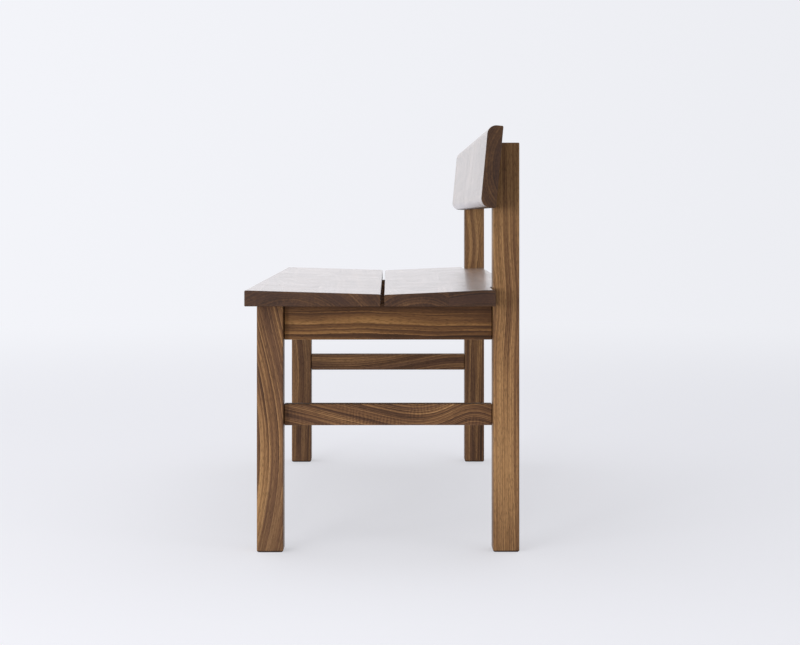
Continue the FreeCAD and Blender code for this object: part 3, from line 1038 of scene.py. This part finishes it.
@dataclass(frozen=True)
class Rail:
    """Rail with eased long edges and, where it has grooves, their mouths near its top.

    The tongues of the seat buttons lie in the grooves, which are given by their middles along the
    rail and open on the inner side, with its sign.
    """

    node: str
    grain: Grain
    low: float
    high: float
    inner: int
    grooves: Sequence[float] = ()
    ease: Ease = SQUARE_END
    arris: float = 1.5 * MM
    groove_mouth: Pair = (8.0 * MM, 15.0 * MM)
    groove_half_width: float = 18.0 * MM
    groove_depth: float = 9.0 * MM

    def skin(self) -> Skin:
        """Make the rail with its grooves.

        Returns:
            Its skin.
        """
        across = self.grain.across[0]
        sides, (z0, z1) = spans(self.node)[across], spans(self.node)[2]
        shallow, deep = self.groove_mouth
        mouth = {1: (z1 - z0 - deep, z1 - z0 - shallow)} if self.inner > 0 else {3: (shallow, deep)}
        outline = Outline.rectangle(sides, (z0, z1), self.arris, mouth if self.grooves else None)
        wall = max(sides) if self.inner > 0 else min(sides)
        pockets = []
        for middle in self.grooves:
            corners = np.zeros((2, 3))
            corners[:, self.grain.value] = middle - self.groove_half_width, middle + self.groove_half_width
            corners[:, across] = sorted((wall, wall - self.inner * self.groove_depth))
            corners[:, 2] = z1 - deep, z1 - shallow
            pockets.append(Pocket(*corners, across, self.inner))
        sweep = Sweep(outline, self.grain, self.low, self.high, self.ease, self.ease, pockets)
        return sweep.onto(Skin())


def put(
    name: str, data: bpy.types.ID, place: Triple = (0.0, 0.0, 0.0), ahead: Vector | None = None
) -> bpy.types.Object:
    """Put an object into the scene.

    Args:
        name: Its name.
        data: Its mesh, lamp or camera.
        place: Where it stands.
        ahead: Which way it looks, if that matters.

    Returns:
        The object.
    """
    made = bpy.data.objects.new(name, data)
    bpy.context.scene.collection.objects.link(made)
    made.location = place
    if ahead is not None:
        made.rotation_euler = ahead.to_track_quat("-Z", "Y").to_euler()
    return made


@dataclass(frozen=True)
class Workshop:
    """Finishes of the bench, and the way from a skin to a dressed piece."""

    walnut: OiledWalnut = OiledWalnut()
    steel: ZincPlatedSteel = ZincPlatedSteel()

    def publish(self, skin: Skin, name: str, timber: Timber, side: Side = Side.RIGHT) -> None:
        """Make a walnut piece that stands for a CAD node.

        Args:
            skin: The piece's surface.
            name: The CAD node.
            timber: How the piece was sawn.
            side: The end of the bench, where the left one mirrors the surface.
        """
        mesh = skin.mesh(name + "_walnut", (side.value, 1, 1))
        mesh.materials.append(self.walnut.material(mesh.name, timber))
        piece = put(mesh.name, mesh)
        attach(piece, "root")
        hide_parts(name)
        log.info("%s: %d faces", piece.name, len(mesh.polygons))

    def dress(self, name: str, material: bpy.types.Material) -> None:
        """Give a CAD node that stays its material.

        Args:
            name: The CAD node.
            material: The material.
        """
        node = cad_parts[name]
        if not node.material_slots:
            node.data.materials.append(material)
        for place in node.material_slots:
            place.material = material
        log.info("%s: CAD node with %s", name, material.name)


@dataclass(frozen=True)
class Taper:
    """Slanted front of a post above a height.

    A point at depth y moves back by slope * rise * (back - y) / thickness, and its normal turns
    by the inverse transpose of that map.
    """

    start: float
    front: float
    back: float
    slope: float

    def __call__(self, points: Array, normals: Array) -> tuple[Array, Array]:
        """Move points and turn their normals.

        Args:
            points: The points.
            normals: Their normals.

        Returns:
            The moved points and the turned normals.
        """
        thickness = self.back - self.front
        rise = np.maximum(points[..., 2] - self.start, 0)
        share = (self.back - points[..., 1]) / thickness
        moved, turned = points.copy(), normals.copy()
        moved[..., 1] += self.slope * rise * share
        turned[..., 1] /= 1 - self.slope * rise / thickness
        turned[..., 2] -= turned[..., 1] * share * self.slope
        return moved, turned


@dataclass(frozen=True)
class Lap:
    """How the backrest lies on a post: how far, at what lean, and where on it the screws are."""

    length: float = 104.5 * MM
    lean: float = math.radians(5.35)
    screws: Pair = (0.3, 0.75)


@dataclass
class EndFrame:
    """Front leg, back post, apron and stretcher of one end of the bench."""

    side: Side
    timbers: Mapping[str, Timber]
    leg_arris: float = 2.0 * MM
    foot: Ease = Ease.chamfer(size=2.2 * MM, soft=0.7 * MM)
    shoulder: Ease = Ease.shoulder(radius=1.0 * MM, slot=0.9 * MM, depth=2.4 * MM)
    lap: Lap = Lap()
    groove_shares: Pair = (0.27, 0.73)
    bore_radius: float = 5.0 * MM
    bore_depth: float = 14.0 * MM
    bore_square: float = 8.0 * MM

    def build(self, workshop: Workshop) -> None:
        """Make the four pieces and put them in place of their nodes.

        Args:
            workshop: What dresses them.
        """
        skins = {
            "front_leg": self._front_leg(),
            "back_post": self._back_post(),
            "end_apron": self._rail("right_end_apron", self.groove_shares),
            "end_stretcher": self._rail("right_end_stretcher", ()),
        }
        for part, skin in skins.items():
            name = f"{self.side.name.lower()}_{part}"
            workshop.publish(skin, name, self.timbers[part], self.side)

    def _front_leg(self) -> Skin:
        """Make the leg, from the floor to the seat's underside.

        Returns:
            Its skin.
        """
        across, through, (low, high) = spans("right_front_leg")
        outline = Outline.rectangle(across, through, self.leg_arris)
        return Sweep(outline, Grain.HEIGHT, low, high, self.foot).onto(Skin())

    def _back_post(self) -> Skin:
        """Make the post, its front planed back, its top eased and two bores for screws behind.

        Returns:
            Its skin.
        """
        (x0, x1), (front, back), (low, high) = spans("right_back_post")
        start = high - self.lap.length
        half, middle = self.bore_square, (x1 - x0) / 2
        centres = [np.array([x0 + middle, back, start + up * self.lap.length]) for up in self.lap.screws]
        reach = half * (1 - Grain.DEPTH.axis)
        bores = [Bore(at - reach, at + reach, self.bore_radius, self.bore_depth) for at in centres]
        behind = {2: (middle - half, middle + half)}
        outline = Outline.rectangle((x0, x1), (front, back), self.leg_arris, behind)
        lower = Sweep(outline, Grain.HEIGHT, low, start, self.foot)
        taper = Taper(start, front, back, math.tan(self.lap.lean))
        top = Ease.round(self.leg_arris)
        upper = Sweep(outline, Grain.HEIGHT, start, high, SQUARE_END, top, bores, taper)
        return upper.onto(lower.onto(Skin(), (True, False)), (False, True))

    def _rail(self, node: str, shares: Sequence[float]) -> Skin:
        """Make a right-hand rail between leg and post.

        Args:
            node: Its CAD node.
            shares: Middles of its grooves, as shares of the way.

        Returns:
            Its skin.
        """
        low, high = spans("right_front_leg")[1][1], spans("right_back_post")[1][0]
        middles = [low + share * (high - low) for share in shares]
        return Rail(node, Grain.DEPTH, low, high, -1, middles, self.shoulder).skin()


@dataclass
class LongAprons:
    """Front and rear apron between the end frames, each with three grooves."""

    timbers: Mapping[str, Timber]
    groove_shares: tuple[float, ...] = (-0.68, 0.0, 0.68)

    def build(self, workshop: Workshop) -> None:
        """Make both aprons, their grooves on the sides that face each other.

        Args:
            workshop: What dresses them.
        """
        reach = spans("right_front_leg")[0][0]
        middles = [share * reach for share in self.groove_shares]
        for name, inner in {"front_apron": 1, "rear_apron": -1}.items():
            skin = Rail(name, Grain.LENGTH, -reach, reach, inner, middles).skin()
            workshop.publish(skin, name, self.timbers[name])


@dataclass
class SeatBoards:
    """Two seat boards that fall towards the open slot between them."""

    timbers: Mapping[str, Timber]
    top_arris: float = 2.0 * MM
    underside_arris: float = 1.5 * MM
    end: Ease = Ease.round(radius=1.2 * MM)
    front_slot_thickness: float = 18.7 * MM
    rear_slot_thickness: float = 18.0 * MM
    rear_edge_thickness: float = 27.3 * MM
    ear_round: float = 4.0 * MM
    notch_clearance: float = 0.5 * MM

    def build(self, workshop: Workshop) -> None:
        """Make both boards."""
        for name, skin in {"front_seat_board": self._front(), "rear_seat_board": self._rear()}.items():
            workshop.publish(skin, name, self.timbers[name])

    def _front(self) -> Skin:
        """Make the front board, thickest at its front edge.

        Returns:
            Its skin.
        """
        (x0, x1), (y0, y1), (z0, z1) = spans("front_seat_board")
        under = [(y0, z0, self.underside_arris), (y1, z0, self.underside_arris)]
        upper = [(y1, z0 + self.front_slot_thickness, self.top_arris), (y0, z1, self.top_arris)]
        section = Outline.rounded(under + upper)
        return Sweep(section, Grain.LENGTH, x0, x1, self.end, self.end).onto(Skin())

    def _rear(self) -> Skin:
        """Make the rear board: the whole section between the posts, and an ear before each post.

        The whole outline also has the ear's points, so that the two meet without a gap.

        Returns:
            Its skin.
        """
        skin = Skin()
        (x0, x1), (y0, y1), (z0, _) = spans("rear_seat_board")
        notch_x, notch_y = (span[0] - self.notch_clearance for span in spans("right_back_post")[:2])
        slot_top, back_top = z0 + self.rear_slot_thickness, z0 + self.rear_edge_thickness
        ear_top = slot_top + (back_top - slot_top) * (notch_y - y0) / (y1 - y0)
        slot_low, slot_high = (y0, z0, self.underside_arris), (y0, slot_top, self.top_arris)
        ear_high = (notch_y, ear_top, self.ear_round)
        ear = Outline.rounded([slot_low, (notch_y, z0, 0.0), ear_high, slot_high])
        below = ear.points[np.abs(ear.points[:, 1] - z0) < TINY, 0]
        start, finish = np.array([y1, back_top]), np.array([y0, slot_top])
        run = (finish - start) / np.linalg.norm(finish - start)
        offset = (ear.points - start) @ np.array([-run[1], run[0]])
        along = (ear.points - start) @ run
        half = (y1 - y0) / 2
        splits = {
            0: np.sort(below[below > y0 + half]) - y0,
            2: np.sort(along[(np.abs(offset) < TINY) & (along > 0) & (along < half)]),
        }
        back_low, back_high = (y1, z0, self.underside_arris), (y1, back_top, self.top_arris)
        whole = Outline.rounded([slot_low, back_low, back_high, slot_high], splits)
        Sweep(whole, Grain.LENGTH, -notch_x, notch_x).onto(skin, (False, False))
        Sweep(ear, Grain.LENGTH, notch_x, x1, high_ease=self.end).onto(skin, (False, True))
        Sweep(ear, Grain.LENGTH, x0, -notch_x, low_ease=self.end).onto(skin, (True, False))
        meeting = np.array([notch_y, z0]), start + run * splits[2][0]
        loop = [self._run(whole, meeting, (0, -1)), self._run(ear, meeting, (-1, 0))[-2:0:-1]]
        for place in (-notch_x, notch_x):
            wall = np.insert(np.concatenate(loop), 0, place, 1)
            skin.plate(wall, math.copysign(1, place) * Grain.LENGTH.axis)
        return skin

    @staticmethod
    def _run(outline: Outline, ends: tuple[Array, Array], picks: tuple[int, int]) -> Array:
        """Follow an outline from one place to another.

        Args:
            outline: The outline.
            ends: The two places.
            picks: For each end, 0 for the first of the points that coincide there, or -1 for the last.

        Returns:
            The points, with those at both ends.
        """
        found = []
        for end, pick in zip(ends, picks):
            gaps = np.linalg.norm(outline.points - end, axis=1)
            found.append(np.flatnonzero(gaps < gaps.min() + WELD / 2)[pick])
        return outline.points[found[0] : found[1] + 1]


@dataclass
class Backrest:
    """Reclined board before the posts, and the plugs over its screws."""

    timbers: Mapping[str, Timber]
    height: float = 128.0 * MM
    thickness: float = 24.0 * MM
    front_round: float = 14.0 * MM
    rear_arris: float = 2.0 * MM
    end: Ease = Ease.round(radius=1.2 * MM)
    round_steps: int = 14
    lap: Lap = Lap()
    plug_radius: float = 4.9 * MM
    plug_depth: float = 8.0 * MM
    plug_rim: float = 0.3 * MM
    plug_steps: int = 32

    def build(self, workshop: Workshop) -> None:
        """Make the board and the plugs.

        Args:
            workshop: What dresses them.
        """
        board, plugs = "backrest_board", "backrest_screw_plugs"
        workshop.publish(self._board(), board, self.timbers[board])
        workshop.publish(self._plugs(), plugs, self.timbers[plugs])

    def _board(self) -> Skin:
        """Make the board, its front edges deeply rounded, lying back on the posts.

        Returns:
            Its skin.
        """
        _, (front, _), (_, top) = spans("right_back_post")
        lean = np.array([math.sin(self.lap.lean), math.cos(self.lap.lean)])
        rear = np.array([front, top - self.lap.length])
        through, along = np.array([-lean[1], lean[0]]) * self.thickness, lean * self.height
        corners = [
            (*(rear + through), self.front_round),
            (*rear, self.rear_arris),
            (*(rear + along), self.rear_arris),
            (*(rear + through + along), self.front_round),
        ]
        section = Outline.rounded(corners, steps=self.round_steps)
        x0, x1 = spans("backrest_board")[0]
        return Sweep(section, Grain.LENGTH, x0, x1, self.end, self.end).onto(Skin())

    def _plugs(self) -> Skin:
        """Make four plugs, each a profile turned about its axis: (r cos t, r sin t) at its depth.

        Returns:
            One skin for all of them.
        """
        skin = Skin()
        (x0, x1), (_, back), (_, top) = spans("right_back_post")
        full, rim, deep = self.plug_radius, self.plug_rim, self.plug_depth
        radius = np.array([0, full - 3 * rim, full - rim, full, full, full, 0])
        depth = np.array([0, 0, 0, -rim, -deep, -deep, -deep])
        tilt = math.pi / 2 * np.array([1, 1, 0.8, 0, 0, -1, -1])
        out, behind = Grain.DEPTH.circle(self.plug_steps), Grain.DEPTH.axis

        def turned(across: Array, along: Array) -> Array:
            """Profile carried round the axis."""
            return across[:, None, None] * out + along[:, None, None] * behind

        for x in (-(x0 + x1) / 2, (x0 + x1) / 2):
            for up in self.lap.screws:
                centre = (x, back, top - self.lap.length * (1 - up))
                skin.patch(centre + turned(radius, depth), turned(np.cos(tilt), np.sin(tilt)))
        return skin


@dataclass
class UnderSeat:
    """Pieces under the seat that keep their CAD shapes."""

    timber: Timber
    rails: tuple[str, ...] = ("left_cross_rail", "right_cross_rail", "seat_buttons")
    block_corners: tuple[str, ...] = ("front_right", "rear_right", "front_left", "rear_left")
    screwed: tuple[str, ...] = ("corner_block", "seat_button", "cross_rail", "backrest")

    def build(self, workshop: Workshop) -> None:
        """Dress them in walnut and steel.

        Args:
            workshop: What dresses them.
        """
        wood = workshop.walnut.material("under_seat_walnut", self.timber)
        plating = workshop.steel.material("zinc_plated_steel")
        for name in (*self.rails, *(f"{corner}_corner_block" for corner in self.block_corners)):
            workshop.dress(name, wood)
        for part in self.screwed:
            workshop.dress(part + "_screws", plating)


RIGHT_FRAME = {
    "front_leg": Timber(
        Grain.HEIGHT, Stave((0.47, -0.33, 0.0)), rings=5.5, swells=(Swell(162, 270, 75),), sway=9,
        # Painted shade: the leg is darker towards its top, where less light falls
        tone=0.39, painted_light_drift=-0.8, contrast=1.1, purple=0.5, seed=1.3,
    ),
    "back_post": Timber(
        Grain.HEIGHT, Stave((0.5, 0.42, 0.0), (0.4, 0)), swells=(Swell(400, 60, 5),), sway=8,
        # Painted light: the post is slightly lighter towards its top
        tone=0.26, painted_light_drift=0.05, contrast=1.1, purple=0.1, seed=23.9,
    ),
    "end_apron": Timber(
        Grain.DEPTH, Stave((0.47, 0.0, 0.184)), rings=11.0, sway=6,
        swells=(Swell(-80, 150, -3.5), Swell(-120, 26, 1.2), Swell(-30, 24, -1.2), Swell(80, 32, 1.6)),
        tone=-0.08, purple=0.0, tint=(1.02, 0.98, 0.84), bare_top=True, seed=22.4,
    ),
    "end_stretcher": Timber(
        Grain.DEPTH, Stave((0.46, 0.0, 0.08)), rings=3.6, sway=5,
        swells=(Swell(-210, 150, -46), Swell(144, 45, -20), Swell(50, 60, 8)),
        contrast=1.15, purple=0.45, curl=0.07, seed=4.4,
    ),
}
LEFT_FRAME = {
    "front_leg": Timber(
        Grain.HEIGHT, Stave((-0.47, -0.3, 0.0)), swells=(Swell(200, 110, 10), Swell(420, 120, -14)),
        sway=12, tone=0.15, contrast=1.15, seed=5.2,
    ),
    "back_post": Timber(
        Grain.HEIGHT, Stave((-0.5, 0.4, 0.0), (-0.6, 0)), swells=(Swell(470, 80, 12),), sway=12,
        # Painted shade: the post is darker towards its foot, in the shade under the seat
        tone=0.09, painted_light_drift=0.57, contrast=1.3, purple=0.4, seed=28.2,
    ),
    "end_apron": Timber(Grain.DEPTH, Stave((-0.47, 0.0, 0.2)), sway=8, tone=0.1, contrast=1.3, seed=7.9),
    "end_stretcher": Timber(
        Grain.DEPTH, Stave((-0.45, 0.0, 0.1), (3.0, 0)), swells=(Swell(-60, 90, 8), Swell(150, 80, -12)),
        sway=12, tone=0.02, contrast=1.1, purple=0.6, seed=8.3,
    ),
}
BOARDS = {
    "front_apron": Timber(
        Grain.LENGTH, Stave((0.0, -0.13, 0.27), (0.4, 0.3)), tone=0.1, contrast=1.3, seed=9.1
    ),
    "rear_apron": Timber(
        Grain.LENGTH, Stave((0.0, 0.12, 0.28), (-0.3, 0.5)), tone=0.1, contrast=1.3, seed=10.4
    ),
    "front_seat_board": Timber(
        Grain.LENGTH, Stave((0.0, -0.15, 0.30), (1.0, 0.3)), Stave((0.7, -0.14, 0.31), (-0.8, 0.4)),
        joint=-0.108, tone=-0.02, contrast=1.1, purple=0.6, polish=1.0, seed=11.7,
    ),
    "rear_seat_board": Timber(
        Grain.LENGTH, Stave((0.2, 0.058, 0.33), (0.9, -0.4)), Stave((1.0, 0.15, 0.17), (-0.5, 0.2)),
        joint=0.101, tone=-0.1, contrast=1.3, purple=0.6, polish=1.0, seed=12.2,
    ),
    "backrest_board": Timber(
        Grain.LENGTH, Stave((0.0, 0.26, 0.62), (0.7, 0.9)),
        tone=0.03, contrast=1.25, purple=0.5, polish=0.92, seed=13.8,
    ),
    "backrest_screw_plugs": Timber(Grain.LENGTH, Stave((0.0, 0.3, 0.6)), seed=14.5),
}
UNDER_SEAT = Timber(Grain.DEPTH, Stave((0.0, 0.0, 0.25), (0.5, 0.5)), bare_top=True, seed=15.1)


@dataclass(frozen=True)
class Lamp:
    """Lamp with its power in watts, its place, its size in metres and what it is aimed at.

    It is a square, or a spot with a cone in degrees, which glossy surfaces don't mirror.
    """

    name: str
    watts: float
    place: Triple
    size: float
    aim: Triple = (0.45, 0.0, 0.3)
    cone: float = 0.0


@dataclass
class Studio:
    """Pale studio: a floor that runs into the backdrop, soft lamps and the camera.

    The room is bright on the left of the bench and behind it, and dim on its right and behind the
    camera. The colours of its backdrop and paper are painted slightly darker from left to right,
    a painted falloff of light.
    """

    camera_place: Triple = (3.296, 0.006, 0.537)
    camera_yaw: float = 0.41
    focal_pixels: float = 1740.0
    image_width: float = 800.0
    sensor_width: float = 36.0
    horizon_rise: float = 107.7
    floor_radius: float = 14.0
    floor_rings: int = 40
    floor_spokes: int = 96
    backdrop: Triple = linear(240, 241, 246)
    paper: Triple = linear(241, 241, 247)
    backdrop_painted_falloff: float = 0.14
    paper_painted_falloff: float = 0.16
    paper_glow: float = 0.5
    paper_end: Pair = (1.2, 5.5)
    paper_right_end: Pair = (1.8, 2.6)
    glow_bounce: float = 0.15
    room_colour: Triple = (0.98, 0.985, 1.0)
    front_level: float = 0.16
    behind_lift: float = 0.66
    left_lift: float = 0.40
    top_lift: float = 0.65
    lamp_colour: Triple = (1.0, 0.985, 0.96)
    spot_blend: float = 0.5
    lamps: tuple[Lamp, ...] = (
        Lamp("key_lamp", 34.0, (3.35, -1.6, 0.64), 0.7),
        Lamp("left_window", 10.0, (2.4, -2.1, 1.5), 0.9),
        Lamp("right_window", 6.0, (2.0, 2.3, 1.5), 0.9),
        Lamp("low_spot", 120.0, (3.4, -0.27, 0.42), 0.12, (0.51, 0.0, 0.25), 13.2),
    )

    def build(self) -> None:
        """Set up floor, world, lamps and camera."""
        self._floor()
        self._world()
        for lamp in self.lamps:
            self._light(lamp)
        self._camera()
        bpy.context.scene.view_settings.view_transform = "Standard"
        log.info("studio: floor, world, %d lamps and camera", len(self.lamps))

    def _floor(self) -> None:
        """Disc of paper: rings of points at radius R * u ** 2 for u from 0 to 1."""
        radius = self.floor_radius * np.linspace(0, 1, self.floor_rings) ** 2
        points = radius[:, None, None] * Grain.HEIGHT.circle(self.floor_spokes)
        skin = Skin()
        skin.patch(points, 0 * points + Grain.HEIGHT.axis)
        mesh = skin.mesh("studio_floor")
        mesh.materials.append(self._paper())
        floor = put(mesh.name, mesh)

    def _paper(self) -> bpy.types.Material:
        """Make paper that keeps the bench's shadow and runs into the backdrop's colour.

        It does so far off, and on the right, where it lies under the low key lamp.

        Returns:
            The material.
        """
        graph = Graph(bpy.data.materials.new("studio_paper"))
        place = graph.value("TexCoord", None, "Object")
        distance = graph.value("VectorMath", {0: place}, "Value", operation="LENGTH")
        right, back, _ = graph.parts(place)
        side = back / (distance + self.camera_place[0])
        # Painted falloff of light: the paper's and the backdrop's colours darken towards +Y, the right of
        # the view
        near = graph.scaled(self.paper, 1 - self.paper_painted_falloff * side)
        far = graph.scaled(self.backdrop, 1 - self.backdrop_painted_falloff * side)
        matt = graph.value("BsdfDiffuse", {"Color": near})
        path = graph.node("LightPath").outputs
        seen = Socket(graph, path["Is Camera Ray"]) + Socket(graph, path["Is Glossy Ray"])
        dim, full = (
            graph.value("Emission", {"Color": far, "Strength": strength})
            for strength in (self.glow_bounce, 1.0)
        )
        ends = graph.smooth(distance, *self.paper_end), graph.smooth(right, *self.paper_right_end)
        away = self.paper_glow + (1 - self.paper_glow) * graph.maths("MAXIMUM", *ends)
        return graph.finished(graph.layered(away, matt, graph.layered(seen, dim, full)), "Material")

    def _world(self) -> None:
        """Room light by direction, and the backdrop's own colour for camera rays."""
        world = bpy.data.worlds.new("studio")
        bpy.context.scene.world = world
        graph = Graph(world)
        right, back, up = graph.parts(graph.value("TexCoord", None, "Generated"))
        level = self.front_level
        towards = ((self.behind_lift, 0 - right), (self.left_lift, 0 - back), (self.top_lift, up))
        for lift, share in towards:
            level = level + lift * graph.maths("MAXIMUM", share, 0.0)
        light = graph.value("Background", {"Color": graph.scaled(self.room_colour, level)})
        # Painted falloff of light: the backdrop seen by the camera darkens towards +Y, the right of the
        # view
        shade = graph.scaled(self.backdrop, 1 - self.backdrop_painted_falloff * back)
        seen = graph.value("Background", {"Color": shade})
        graph.finished(graph.layered(graph.value("LightPath", None, "Is Camera Ray"), light, seen), "World")

    def _light(self, lamp: Lamp) -> None:
        """Put up a lamp.

        Args:
            lamp: The lamp.
        """
        light = bpy.data.lights.new(lamp.name, "SPOT" if lamp.cone else "AREA")
        light.energy = lamp.watts
        light.color = self.lamp_colour
        if lamp.cone:
            light.spot_size = math.radians(lamp.cone)
            light.spot_blend = self.spot_blend
            light.shadow_soft_size = lamp.size
        else:
            light.shape = "SQUARE"
            light.size = lamp.size
        placed = put(lamp.name, light, lamp.place, Vector(lamp.aim) - Vector(lamp.place))
        placed.visible_glossy = not lamp.cone

    def _camera(self) -> None:
        """Level camera at the bench's right end, its frame slid down to hold the feet."""
        data = bpy.data.cameras.new("camera")
        data.sensor_width = self.sensor_width
        data.lens = self.focal_pixels / self.image_width * self.sensor_width
        data.shift_y = -self.horizon_rise / self.image_width
        yaw = math.radians(self.camera_yaw)
        ahead = Vector((-math.cos(yaw), math.sin(yaw), 0.0))
        bpy.context.scene.camera = put("camera", data, self.camera_place, ahead)


def main() -> None:
    """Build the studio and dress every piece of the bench."""
    logging.basicConfig(level=logging.INFO, format="%(message)s")
    Studio().build()
    workshop = Workshop()
    for part in (
        EndFrame(Side.RIGHT, RIGHT_FRAME),
        EndFrame(Side.LEFT, LEFT_FRAME),
        LongAprons(BOARDS),
        SeatBoards(BOARDS),
        Backrest(BOARDS),
        UnderSeat(UNDER_SEAT),
    ):
        part.build(workshop)


if __name__ == "__main__":
    main()
